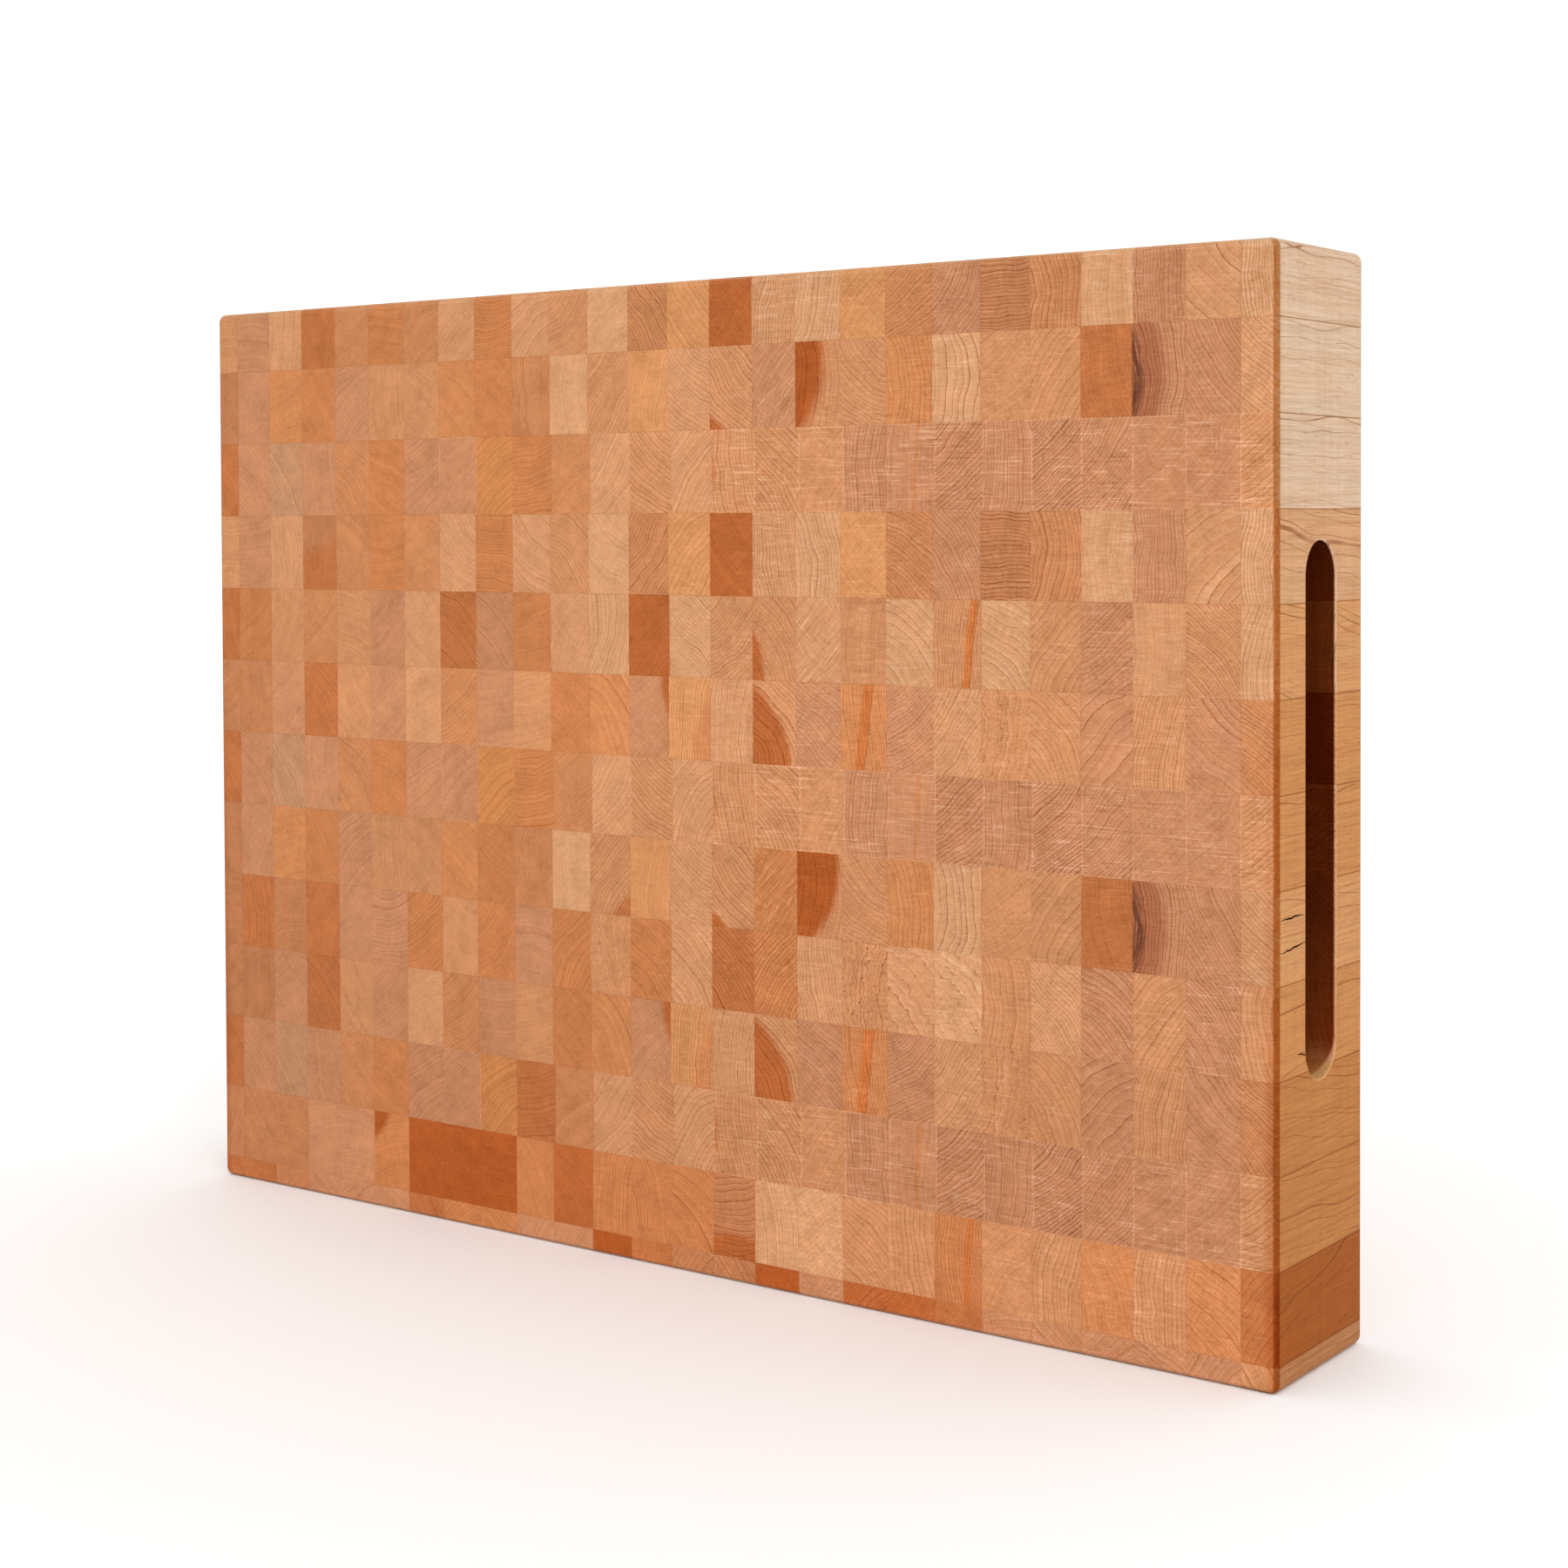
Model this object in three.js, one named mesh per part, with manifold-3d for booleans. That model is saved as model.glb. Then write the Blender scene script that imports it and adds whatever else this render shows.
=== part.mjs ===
// An end-grain maple butcher block, standing on one of its long edges.
// Thirteen crosscut rows are glued one above the other, each a row of square-sawn blocks.
// A finger slot is routed into each end face. It cuts the trimmed end blocks of the middle rows
// in two, a front and a back cheek, and stops inside the whole block behind them.
// Millimetres, with X along the board, Y through its thickness and Z up. The front face looks
// along -Y.
import * as THREE from 'three';
import { mergeVertices } from 'three/addons/utils/BufferGeometryUtils.js';
import Module from 'manifold-3d';

const wasm = await Module();
wasm.setup();

// The whole board: 24 x 18 inches and 3 1/4 inches thick, with softened edges.
const BOARD_LENGTH = 609.6;
const BOARD_THICKNESS = 82.5;
const BOARD_HEIGHT = 457.2;
const CORNER_RADIUS = 4;
const CORNER_STEPS = 4;
const EDGE_RADIUS = 3;
const EDGE_STEPS = 3;

// Rows are slices of one pitch. The top row is trimmed narrower and the bottom row is a sliver.
const ROW_COUNT = 13;
const ROW_PITCH = 37.75;
const TOP_ROW_HEIGHT = 31;

// Each row has 24 whole blocks of one width between two trimmed end blocks. The two outer
// blocks at each end are set apart from the core, because the slots are cut into them.
const BLOCK_WIDTH = 24.1;
const WHOLE_BLOCKS = 24;
const LEFT_END_WIDTH = 15.5;
const GLUE_LINE = 0.1;

// The finger slot: a router path with round ends at mid-height, its mouth slightly chamfered.
const SLOT_WIDTH = 29.2;
const SLOT_LENGTH = 219;
const SLOT_DEPTH = 25;
const SLOT_STEPS = 16;
const MOUTH_CHAMFER = 0.8;

// Beyond a face, so that a cut runs out of the wood.
const OVERSHOOT = 10;

// Wood tones of the rows, from the top row down.
const PALE_MAPLE = 0xdcb88c;
const HONEY_MAPLE = 0xcf9c62;
const AMBER_MAPLE = 0xc1844c;
const BROWN_MAPLE = 0xa5683a;
const PINK_MAPLE = 0xcc9a78;
const FACE_MAPLE = 0xcb8f62;
const ROW_TONES = [
  PALE_MAPLE, PALE_MAPLE, PALE_MAPLE, HONEY_MAPLE, HONEY_MAPLE, HONEY_MAPLE, HONEY_MAPLE,
  HONEY_MAPLE, HONEY_MAPLE, AMBER_MAPLE, AMBER_MAPLE, BROWN_MAPLE, PINK_MAPLE,
];
const OILED_WOOD_ROUGHNESS = 0.45;

// A closed geometry as a solid, its vertices shared by position only.
function solidFrom(geometry) {
  const bare = geometry.clone();
  bare.deleteAttribute('normal');
  bare.deleteAttribute('uv');
  const shared = mergeVertices(bare);
  return new wasm.Manifold(new wasm.Mesh({
    numProp: 3,
    vertProperties: new Float32Array(shared.attributes.position.array),
    triVerts: new Uint32Array(shared.index.array),
  }));
}

function geometryFrom(solid) {
  const { vertProperties, triVerts } = solid.getMesh();
  const geometry = new THREE.BufferGeometry();
  geometry.setAttribute('position', new THREE.BufferAttribute(vertProperties, 3));
  geometry.setIndex(new THREE.BufferAttribute(triVerts, 1));
  geometry.computeVertexNormals();
  return geometry;
}

// A rectangle with round corners, centred on the origin.
function roundedRectangle(width, height, radius) {
  const right = width / 2 - radius;
  const top = height / 2 - radius;
  const quarter = Math.PI / 2;
  const outline = new THREE.Shape();
  outline.absarc(right, top, radius, 0, quarter);
  outline.absarc(-right, top, radius, quarter, 2 * quarter);
  outline.absarc(-right, -top, radius, 2 * quarter, 3 * quarter);
  outline.absarc(right, -top, radius, 3 * quarter, 4 * quarter);
  outline.closePath();
  return outline;
}

// The board before it is divided: its face outline, with rounded front and back edges.
function boardSolid() {
  const geometry = new THREE.ExtrudeGeometry(
    roundedRectangle(BOARD_LENGTH, BOARD_HEIGHT, CORNER_RADIUS),
    {
      depth: BOARD_THICKNESS - 2 * EDGE_RADIUS,
      curveSegments: CORNER_STEPS,
      bevelSize: EDGE_RADIUS,
      bevelThickness: EDGE_RADIUS,
      bevelOffset: -EDGE_RADIUS,
      bevelSegments: EDGE_STEPS,
    },
  );
  geometry.translate(0, 0, EDGE_RADIUS - BOARD_THICKNESS / 2);
  geometry.rotateX(Math.PI / 2);
  geometry.translate(0, 0, BOARD_HEIGHT / 2);
  return solidFrom(geometry);
}

// What the router takes out of one end face: side is 1 for the right end and -1 for the left.
function slotSolid(side) {
  const path = roundedRectangle(SLOT_WIDTH, SLOT_LENGTH, SLOT_WIDTH / 2);
  const channel = new THREE.ExtrudeGeometry(path, {
    depth: SLOT_DEPTH + OVERSHOOT,
    curveSegments: SLOT_STEPS / 2,
    bevelEnabled: false,
  });
  channel.translate(0, 0, -SLOT_DEPTH);
  const mouth = new THREE.ExtrudeGeometry(path, {
    depth: OVERSHOOT,
    curveSegments: SLOT_STEPS / 2,
    bevelSize: MOUTH_CHAMFER,
    bevelThickness: MOUTH_CHAMFER,
    bevelSegments: 1,
  });
  const parts = [channel, mouth].map((geometry) => {
    geometry.rotateX(Math.PI / 2);
    geometry.rotateZ(side * Math.PI / 2);
    geometry.translate(side * BOARD_LENGTH / 2, 0, BOARD_HEIGHT / 2);
    return solidFrom(geometry);
  });
  return parts[0].add(parts[1]);
}

// A block of space between two corners, for cutting one piece out of the board.
function region(low, high) {
  const size = low.map((start, axis) => high[axis] - start);
  const geometry = new THREE.BoxGeometry(...size);
  geometry.translate(...low.map((start, axis) => start + size[axis] / 2));
  return solidFrom(geometry);
}

// Bottom and top of each row, from the top row down.
function rowHeights() {
  const rows = [];
  let top = BOARD_HEIGHT;
  for (let index = 0; index < ROW_COUNT; index += 1) {
    const height = index === 0 ? TOP_ROW_HEIGHT : ROW_PITCH;
    const bottom = Math.max(top - height, 0);
    rows.push({ bottom, top });
    top = bottom;
  }
  return rows;
}

function slotSevers(row) {
  const bottom = BOARD_HEIGHT / 2 - SLOT_LENGTH / 2;
  const top = BOARD_HEIGHT / 2 + SLOT_LENGTH / 2;
  return row.bottom > bottom && row.top < top;
}

// The pieces of one row: the core, and at each end either one pair of blocks still joined,
// or, beside the slot, two cheeks and the block that holds the slot's floor.
function rowPieces(row) {
  const left = -BOARD_LENGTH / 2;
  const right = BOARD_LENGTH / 2;
  const front = -BOARD_THICKNESS / 2;
  const back = BOARD_THICKNESS / 2;
  const firstJoint = left + LEFT_END_WIDTH;
  const lastJoint = firstJoint + WHOLE_BLOCKS * BLOCK_WIDTH;
  const coreLeft = firstJoint + BLOCK_WIDTH;
  const coreRight = lastJoint - BLOCK_WIDTH;
  const ends = [
    { name: 'left', outer: [left, firstJoint], inner: [firstJoint, coreLeft] },
    { name: 'right', outer: [lastJoint, right], inner: [coreRight, lastJoint] },
  ];
  const pieces = [{ name: 'core', x: [coreLeft, coreRight], y: [front, back] }];
  for (const { name, outer, inner } of ends) {
    if (slotSevers(row)) {
      pieces.push({ name: `${name}_cheek_front`, x: outer, y: [front, 0] });
      pieces.push({ name: `${name}_cheek_back`, x: outer, y: [0, back] });
      pieces.push({ name: `${name}_slot_block`, x: inner, y: [front, back] });
    } else {
      const x = [Math.min(outer[0], inner[0]), Math.max(outer[1], inner[1])];
      pieces.push({ name: `${name}_end`, x, y: [front, back] });
    }
  }
  return pieces;
}

// A glue line lies inside the board only, so outer faces keep their full size.
function shyOfGlue(span, outerLow, outerHigh) {
  const low = span[0] > outerLow ? span[0] + GLUE_LINE / 2 : span[0] - OVERSHOOT;
  const high = span[1] < outerHigh ? span[1] - GLUE_LINE / 2 : span[1] + OVERSHOOT;
  return [low, high];
}

const routedBoard = boardSolid().subtract(slotSolid(1)).subtract(slotSolid(-1));
const board = new THREE.Group();

rowHeights().forEach((row, index) => {
  const rowGroup = new THREE.Group();
  rowGroup.position.z = row.bottom;
  for (const piece of rowPieces(row)) {
    const x = shyOfGlue(piece.x, -BOARD_LENGTH / 2, BOARD_LENGTH / 2);
    const y = shyOfGlue(piece.y, -BOARD_THICKNESS / 2, BOARD_THICKNESS / 2);
    const z = shyOfGlue([row.bottom, row.top], 0, BOARD_HEIGHT);
    const cut = region([x[0], y[0], z[0]], [x[1], y[1], z[1]]);
    const geometry = geometryFrom(routedBoard.intersect(cut));
    const middle = (piece.x[0] + piece.x[1]) / 2;
    geometry.translate(-middle, 0, -row.bottom);
    const material = new THREE.MeshStandardMaterial({
      color: /core|slot_block/.test(piece.name) ? FACE_MAPLE : ROW_TONES[index],
      roughness: OILED_WOOD_ROUGHNESS,
      metalness: 0,
      flatShading: true,
    });
    const mesh = new THREE.Mesh(geometry, material);
    mesh.name = `row_${String(index + 1).padStart(2, '0')}_${piece.name}`;
    mesh.position.x = middle;
    rowGroup.add(mesh);
  }
  board.add(rowGroup);
});

export default board;
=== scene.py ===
"""A cutting board of end-grain maple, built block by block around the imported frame.

Lengths are in millimetres until a mesh is made. X runs along the board, Y through it and Z up.
Every block is a closed solid with its fibres along Y.
"""
import math
import random
from collections import namedtuple

import bmesh
import bpy
from mathutils import Matrix, Vector


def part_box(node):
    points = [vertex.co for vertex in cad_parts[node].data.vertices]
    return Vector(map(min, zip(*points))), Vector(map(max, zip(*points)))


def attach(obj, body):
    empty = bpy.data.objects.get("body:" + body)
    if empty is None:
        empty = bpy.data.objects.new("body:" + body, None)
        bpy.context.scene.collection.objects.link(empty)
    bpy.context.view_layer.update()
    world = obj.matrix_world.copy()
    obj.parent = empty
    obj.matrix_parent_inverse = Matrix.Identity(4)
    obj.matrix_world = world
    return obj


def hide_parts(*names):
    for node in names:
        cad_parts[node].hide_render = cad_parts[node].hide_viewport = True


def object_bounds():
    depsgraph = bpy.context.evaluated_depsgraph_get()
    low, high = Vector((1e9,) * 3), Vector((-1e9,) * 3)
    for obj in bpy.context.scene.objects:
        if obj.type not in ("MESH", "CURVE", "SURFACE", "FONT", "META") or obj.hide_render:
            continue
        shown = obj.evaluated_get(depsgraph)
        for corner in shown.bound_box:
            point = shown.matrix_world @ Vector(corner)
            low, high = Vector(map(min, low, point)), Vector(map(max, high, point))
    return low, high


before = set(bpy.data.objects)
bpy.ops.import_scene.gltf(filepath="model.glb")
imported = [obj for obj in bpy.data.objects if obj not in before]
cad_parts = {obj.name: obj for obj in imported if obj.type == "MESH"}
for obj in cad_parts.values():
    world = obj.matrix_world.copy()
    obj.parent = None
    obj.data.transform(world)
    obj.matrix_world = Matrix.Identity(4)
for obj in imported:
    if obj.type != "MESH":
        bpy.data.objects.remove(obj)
cad_low, cad_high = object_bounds()

MM = 0.001
HALF_LENGTH = cad_high.x / MM
HALF_THICKNESS = cad_high.y / MM
HEIGHT = cad_high.z / MM

# The rows, from the top one down, and the blocks of a row, from left to right.
ROW_COUNT = 13
BLOCKS_PER_ROW = 26
CORE_BLOCKS = 22
CAD_GLUE_LINE = 0.1
GLUE_LINE = 0.03
SEAT_DEPTH = 0.05

# Softened edges: the board's corners seen from the front, and the rims of its two faces.
CORNER_RADIUS = 4.0
EDGE_RADIUS = 3.0
ROUND_STEPS = 5
CLOSEST_LINES = 0.12

# The finger slot in each end face.
SLOT_WIDTH = 29.2
SLOT_LENGTH = 219.0
SLOT_DEPTH = 25.0
SLOT_ARC_STEPS = 28
LIP_RADIUS = 1.0
FLOOR_RADIUS = 1.2
SLOT_ROUND_STEPS = 5
OVERSHOOT = 4.0

# Drying checks in the right end face, as y and z of where each starts and ends. A check is a
# half wave wide, less a blunt share of the wave at either end.
CHECKS = [
    ((-38.8, 188.0), (-16.8, 188.4)),
    ((-38.8, 175.0), (-14.2, 177.0)),
    ((-22.4, 132.8), (-13.4, 131.4)),
]
CHECK_WIDTH = 0.8
CHECK_DEPTH = 4.0
CHECK_STEPS = 8
CHECK_WAVER = 0.35
CHECK_BLUNT = 0.06

# Each slice carries the pattern of the panel that it was crosscut from. A small letter is a
# slice turned upside down. The next slice of a panel lies one step further along the fibre.
SLICES = "ABCaDECBFECGH"
SLICE_STEP = 86.0

# Wood tones of the end grain, as sRGB colours, and the panels' blocks from left to right. A
# block's letter was given after measuring the middle colour of that block in the photo.
TONES = {
    "x": (176, 90, 43),
    "h": (172, 106, 74),
    "b": (186, 103, 56),
    "d": (190, 114, 68),
    "g": (190, 124, 83),
    "o": (200, 127, 79),
    "m": (202, 134, 89),
    "k": (198, 136, 98),
    "e": (194, 141, 104),
    "a": (208, 136, 87),
    "l": (207, 143, 99),
    "y": (215, 148, 97),
    "c": (211, 150, 107),
    "p": (215, 158, 115),
    "s": (208, 121, 66),
    "i": (205, 134, 81),
}
TONE_CHARTS = {
    "A": "lkcdmomcoclpmybcpymkgmpkcp",
    "B": "gkaokllaomplyclkllaplldkkc",
    "C": "dkekmokkiomclclllkkkkkkkkl",
    "D": "dolmlkcdkocpbpllclplplkclp",
    "E": "ggkdlkcmkloakyclkakcllklkm",
    "F": "gdgdkkolokolocdoclcplcklkl",
    "G": "gggkkoxxxobooogppllollalad",
    "H": "ddgkkkdookkxdggxkbbdkkkkkl",
}

# Growth rings of the panels' blocks. A figure's digit is the way to the tree's pith, laid out
# as on a number pad. Its letter is the width of the rings: tight, normal, wide, faint or curled.
# A star marks strong rings, a plus a scratched face and a tilde wavy rings. A style's spacing
# and pith distance are in millimetres, and each block strays from them within a range. Its rings
# lean as they run back, and its grain comes from its own place in an endless pattern.
FIGURE_CHARTS = {
    "A": "f 2f 4n f 7f 2f f 3n 8t 3n 7c f 1t* 9n 3f 6t+ 4n 3f 7t 7t 8t* 4n* 6f 4t 9w* 6t",
    "B": "f f f f 3n 6t 1t 1f 1f 6t 6f 3t* 6f 9t 9n* f+ 4n 9n 4n 4w 7f 3n f 4t* 9t 9t",
    "C": "f 1n 1n f 1n f 3n 3t+ 3n 8n 3f 7n 9n* 3n 6n 1n* 3f+ 6t+ 6f 7t*+ 4t 7t* 7t 7f 7f 7n",
    "D": "f f f 7f f 7t f 1t* 1t* f 3f 4n* 3f 1t 7t 1n 7f+ 6f 1w 6t 1w 3n 7t+ f 1t 6n",
    "E": "f f f 1t* f 7f f 7t 8f 8f f 1w f 6t 6t 1c* 1t 6t 7t 7t 4w*~ 1n 3w 6t 9n 1t",
    "F": "f 4n f f 7f 8n 7n f 7n f 3n 6t~ 1n 1n* 1t* 3t* 6t 6n*~ 1w*~ 1w~ 4n 1t 1n* 3n 1t+ 6n",
    "G": "f f f f f f 1f f f f 1f 6n 4t 1w 8n* 4t 3f 1n 6n 6t 3f 6n f 6t+ 1n 3n",
    "H": "1n f 3n 1n 3n f 1n 3n 1n f f f f 3n 1n f f 3n f f f 1n 3n 1n 3n 1n",
}
Style = namedtuple("Style", "spacing pith_distance strength")
STYLES = {
    "t": Style(1.7, 95, 0.7),
    "n": Style(2.4, 62, 0.75),
    "w": Style(3.8, 52, 0.85),
    "f": Style(2.2, 85, 0.35),
    "c": Style(2.0, 39, 0.8),
}
PITH_DISTANCE_RANGE = (0.85, 1.2)
SPACING_RANGE = (0.85, 1.15)
LEAN_RANGE = (0.6, 1.4)
PITH_JITTER = 12
PATTERN_REACH = 900
STRONG_RINGS = 1.0
FAINT_SCRATCHES = 0.4
STRONG_SCRATCHES = 0.85
CALM_WAVE = 0.22
WAVY_WAVE = 1.5
SCRATCHED_SLICE = "C"

# Sanding ran along the board, but a few blocks were scratched aslant, in degrees.
SLANTED_SCRATCHES = {("B", 15): 45, ("D", 16): 48}

# The board is smoother on the left, where it was oiled more, and dry and rough on the right.
# It turns rough between two shares of its length.
SMOOTH_GRAIN = 0.6
ROUGH_GRAIN = 1.5
ROUGH_FROM = 0.35
ROUGH_TO = 0.6

# Glue lines are paler than the wood where a slice is scratched, and a little darker elsewhere.
PALE_GLUE = 0.30
DARK_GLUE = -0.05

# A zone is wood of another tone inside a block: heartwood, a dark corner or a streak. It covers
# the part that lies between start and end towards an angle, measured from the block's middle,
# with edges that bend around a point bend away. A vein is a dark line within it. A zone with a
# row number shows in that row's slice only.
Zone = namedtuple("Zone", "angle start end tone soft bend vein vein_width vein_depth")
FAR = 90
STRAIGHT = 400
NO_VEIN = (FAR, 1, 0)
ZONES = {
    ("A", 3, 4): Zone(250, 2, FAR, "g", 5.0, 60, *NO_VEIN),
    ("B", 11, 8): Zone(-50, 14, FAR, "d", 2.0, 60, *NO_VEIN),
    ("B", 14): Zone(235, 17, FAR, "b", 1.5, 50, *NO_VEIN),
    ("B", 16, 2): Zone(165, -2, FAR, "x", 4.5, 40, 7, 4, 0.15),
    ("B", 16): Zone(158, -8, FAR, "x", 2.6, 40, *NO_VEIN),
    ("B", 23): Zone(183, -3, FAR, "h", 3.2, 45, 9.5, 4.0, 0.85),
    ("C", 14): Zone(180, 11, FAR, "d", 2.0, 60, *NO_VEIN),
    ("C", 18): Zone(-4, 1.5, 3, "o", 1.2, STRAIGHT, *NO_VEIN),
    ("D", 15, 5): Zone(200, 9, FAR, "b", 1.6, 50, *NO_VEIN),
    ("D", 19): Zone(-7, 4, 8, "s", 0.9, STRAIGHT, 7.6, 0.8, 0.30),
    ("E", 12): Zone(20, 11, FAR, "b", 2.4, 60, *NO_VEIN),
    ("E", 13): Zone(-20, 5, FAR, "a", 3.0, 60, *NO_VEIN),
    ("E", 15): Zone(211, -3, FAR, "b", 2.2, 39, *NO_VEIN),
    ("E", 17): Zone(-7, -2.6, 2.6, "s", 0.9, STRAIGHT, 2.6, 0.8, 0.35),
    ("G", 5): Zone(135, 12, FAR, "x", 2.5, 40, *NO_VEIN),
    ("G", 14): Zone(270, 8, FAR, "b", 3.0, 60, *NO_VEIN),
    ("G", 19): Zone(-5, 3, 6.5, "s", 0.9, STRAIGHT, *NO_VEIN),
}
NO_ZONE = Zone(0, FAR, FAR, "k", 1, STRAIGHT, *NO_VEIN)

# The long grain that shows on the board's two ends, a tone for each row from the top down.
LONG_GRAIN_TONES = {
    "w": (217, 185, 155),
    "v": (211, 160, 117),
    "u": (208, 150, 97),
    "t": (202, 139, 83),
    "r": (191, 126, 70),
    "n": (166, 91, 36),
    "q": (184, 125, 80),
}
# The right end's tones grow paler towards the top: partly the wood, partly painted light from
# above.
RIGHT_END_CHART = "wwwvuttutrrnq"
LEFT_END_CHART = "vtrvutrttrutq"

# Top and bottom edges show each block's own tone, mixed with this share of a paler one.
LONG_GRAIN_PALE = (226, 192, 158)
LONG_GRAIN_LIGHTENING = 0.35
TONE_JITTER = 0.02

# How steeply the lines of the long grain fall towards the back, by row number. A negative one
# rises, and the other rows' lines are level.
FIBRE_FALL = {4: 0.10, 5: 0.14, 8: 0.05, 9: -0.04, 10: 0.16, 11: 0.10, 12: -0.24}

# No two slices took the oil alike: how much brighter each row is than its panel's tones, in
# percent. The bottom row's value also paints light over the shade that the floor casts on it.
# The odd blocks have another tone than their panel, by row and number.
ROW_BRIGHTNESS = (-4, 0, 3, 0, -3, 6, 2, -4, 1, -4, -2, 8, 12)
ODD_BLOCKS = {(8, 15): "o", (11, 9): "d"}

# How bright the light makes a white face, and the white sheen that it adds, as red, green and
# blue. A tone less the sheen, divided by the light, is the colour of the wood itself.
Light = namedtuple("Light", "strength sheen")
LIGHT_ON_FACE = Light((1.09, 1.05, 1.04), (0.0, 0.001, 0.003))
LIGHT_ON_END = Light((1.15, 1.12, 1.09), (0.0, 0.003, 0.005))
DARKEST_WOOD = 0.004

# How strong the painted shade deep in the slot is, by row number, and full in the other rows
# that it reaches. A value of CHECKED marks the inside of a drying check instead.
DEEP_SLOT_SHADE_BY_ROW = {5: 0.75, 6: 1.0, 7: 0.85, 8: 0.85, 9: 0.80}
FULL_DEEP_SLOT_SHADE = 1.0
CHECKED = 2.0

# The way that each key of a number pad points, in degrees.
NUMBER_PAD = {
    "1": 225, "2": 270, "3": 315,
    "4": 180, "6": 0,
    "7": 135, "8": 90, "9": 45,
}


# ---------------------------------------------------------------------------
# Colours
# ---------------------------------------------------------------------------

def linear(srgb):
    """An sRGB colour of 0 to 255 as linear light."""
    shares = [channel / 255 for channel in srgb]
    return [c / 12.92 if c <= 0.04045 else ((c + 0.055) / 1.055) ** 2.4 for c in shares]


def wood_colour(srgb, light, brightness=1.0):
    """The colour of the wood that shows as this sRGB colour under that light."""
    wood = []
    for shown, strength, sheen in zip(linear(srgb), light.strength, light.sheen):
        wood.append(max((brightness * shown - sheen) / strength, DARKEST_WOOD))
    return (*wood, 1.0)


def mixed(first, second, share):
    return tuple(a + (b - a) * share for a, b in zip(first, second))


# ---------------------------------------------------------------------------
# Block meshes: a mesh is a list of points and a list of faces
# ---------------------------------------------------------------------------

def lattice_box(lines):
    """A closed box whose sides are divided along the given x, y and z lines."""
    numbers = {}
    points = []
    faces = []

    def point(place):
        if place not in numbers:
            numbers[place] = len(points)
            points.append(tuple(lines[axis][place[axis]] for axis in range(3)))
        return numbers[place]

    for axis in range(3):
        across, up = (axis + 1) % 3, (axis + 2) % 3
        for end in (0, len(lines[axis]) - 1):
            for i in range(len(lines[across]) - 1):
                for j in range(len(lines[up]) - 1):
                    face = []
                    for step_i, step_j in ((0, 0), (1, 0), (1, 1), (0, 1)):
                        place = [0, 0, 0]
                        place[axis] = end
                        place[across] = i + step_i
                        place[up] = j + step_j
                        face.append(point(tuple(place)))
                    faces.append(face if end else face[::-1])
    return points, faces


def rounding_offsets(radius):
    """How far in from an edge the lines lie that a rounding of this radius bends evenly."""
    angles = [math.pi / 4 * step / ROUND_STEPS for step in range(ROUND_STEPS + 1)]
    return [radius * (1 - math.tan(angle)) for angle in angles]


FACE_OFFSETS = rounding_offsets(EDGE_RADIUS)
OUTLINE_OFFSETS = FACE_OFFSETS + rounding_offsets(CORNER_RADIUS)


def division_lines(low, high, outer_low, outer_high, offsets):
    """The lines from low to high, with the rounding's lines where an end is an outer one."""
    lines = {low, high}
    if low <= outer_low:
        lines.update(outer_low + offset for offset in offsets)
    if high >= outer_high:
        lines.update(outer_high - offset for offset in offsets)
    kept = []
    for line in sorted(lines):
        if low <= line <= high and (not kept or line - kept[-1] > CLOSEST_LINES):
            kept.append(line)
    kept[-1] = high
    return kept


def inward(x, z):
    """Distance in from the board's outline and the way in, with the corners still square."""
    from_side = HALF_LENGTH - abs(x)
    from_end = min(z, HEIGHT - z)
    side = -math.copysign(1, x)
    end = 1 if z < HEIGHT / 2 else -1
    corner_x = max(CORNER_RADIUS - from_side, 0)
    corner_z = max(CORNER_RADIUS - from_end, 0)
    if corner_x and corner_z:
        length = math.hypot(corner_x, corner_z)
        return min(from_side, from_end), (side * corner_x / length, end * corner_z / length)
    if from_side < from_end:
        return from_side, (side, 0)
    return from_end, (0, end)


def rounded_corner(x, z):
    """A point of the square outline moved onto the outline with round corners."""
    side = math.copysign(HALF_LENGTH - CORNER_RADIUS, x)
    end = CORNER_RADIUS if z < HEIGHT / 2 else HEIGHT - CORNER_RADIUS
    out_x = (x - side) * math.copysign(1, x)
    out_z = (z - end) * (-1 if z < HEIGHT / 2 else 1)
    if out_x <= 0 or out_z <= 0:
        return x, z
    shrink = max(out_x, out_z) / math.hypot(out_x, out_z)
    return side + (x - side) * shrink, end + (z - end) * shrink


def rounded_point(point):
    """A point of the square-edged board moved onto the board with rounded edges."""
    x, y, z = point
    distance, way_in = inward(x, z)
    x, z = rounded_corner(x, z)
    outward = EDGE_RADIUS - distance
    across = abs(y) - (HALF_THICKNESS - EDGE_RADIUS)
    if outward <= 0 or across <= 0:
        return x, y, z
    shrink = max(outward, across) / math.hypot(outward, across)
    moved_in = outward * (1 - shrink)
    y -= math.copysign(across * (1 - shrink), y)
    return x + way_in[0] * moved_in, y, z + way_in[1] * moved_in


def block_mesh(x_span, y_span, z_span):
    """One block of the board. Its outer edges are rounded, and its glued ones are sharp."""
    x_lines = division_lines(*x_span, -HALF_LENGTH, HALF_LENGTH, OUTLINE_OFFSETS)
    z_lines = division_lines(*z_span, 0, HEIGHT, OUTLINE_OFFSETS)
    on_rim = len(x_lines) > 2 or len(z_lines) > 2
    offsets = FACE_OFFSETS if on_rim else []
    y_lines = division_lines(*y_span, -HALF_THICKNESS, HALF_THICKNESS, offsets)
    points, faces = lattice_box((x_lines, y_lines, z_lines))
    return [rounded_point(point) for point in points], faces


# ---------------------------------------------------------------------------
# The finger slots
# ---------------------------------------------------------------------------

SLOT_RADIUS = SLOT_WIDTH / 2
SLOT_STRAIGHT = SLOT_LENGTH / 2 - SLOT_RADIUS
SLOT_LOW = HEIGHT / 2 - SLOT_LENGTH / 2
SLOT_HIGH = HEIGHT / 2 + SLOT_LENGTH / 2


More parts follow.
